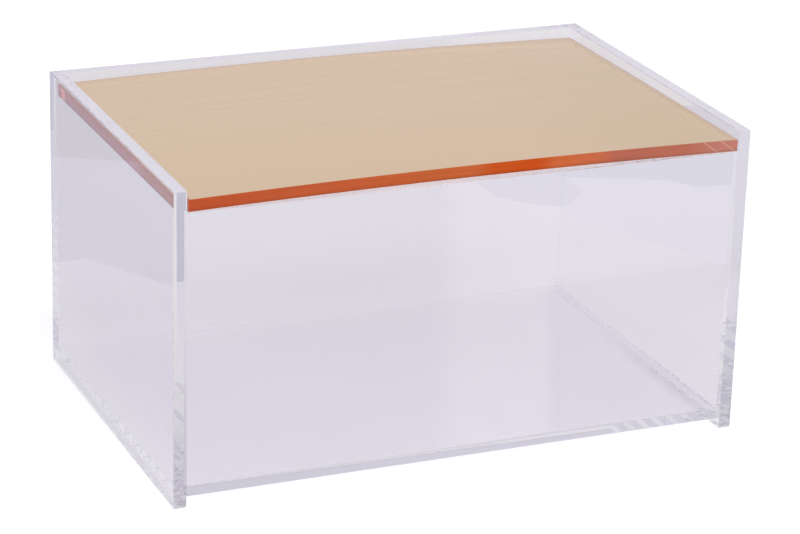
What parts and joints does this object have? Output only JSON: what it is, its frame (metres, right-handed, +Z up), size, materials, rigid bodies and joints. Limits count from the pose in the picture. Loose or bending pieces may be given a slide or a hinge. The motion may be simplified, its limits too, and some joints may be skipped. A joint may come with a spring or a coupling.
{
  "type": "acrylic storage box with lid",
  "caption": "Clear acrylic sheet box standing on its two side panels, with a sunk gold mirror lid that swings up on pins near the back.",
  "frame": {"origin": "middle of the footprint, on the surface the box stands on", "axes": "+X to the right along the length, +Y to the back where the lid is pivoted, +Z up"},
  "size_m": [0.23, 0.1524, 0.1224],
  "materials": {
    "clear_acrylic": "clear cast acrylic, polished faces and edges, faint violet tint",
    "dyed_acrylic": "orange dyed clear acrylic, polished, gold when seen against its mirror coat",
    "mirror_coat": "vacuum metal coat seen through the sheet, painted grey underneath",
    "pin_acrylic": "clear acrylic rod"
  },
  "bodies": {
    "box": {"left_panel": "clear_acrylic", "right_panel": "clear_acrylic", "front_panel": "clear_acrylic", "back_panel": "clear_acrylic", "bottom_panel": "clear_acrylic", "left_hinge_pin": "pin_acrylic", "right_hinge_pin": "pin_acrylic"},
    "lid": {"lid_sheet": "dyed_acrylic", "lid_mirror_backing": "mirror_coat"}
  },
  "joints": [
    {"name": "lid_hinge", "type": "hinge", "parent": "box", "child": "lid", "pos_m": [0, 0.0627, 0.11675], "axis": [-1, 0, 0], "range_deg": [0, 118]}
  ]
}
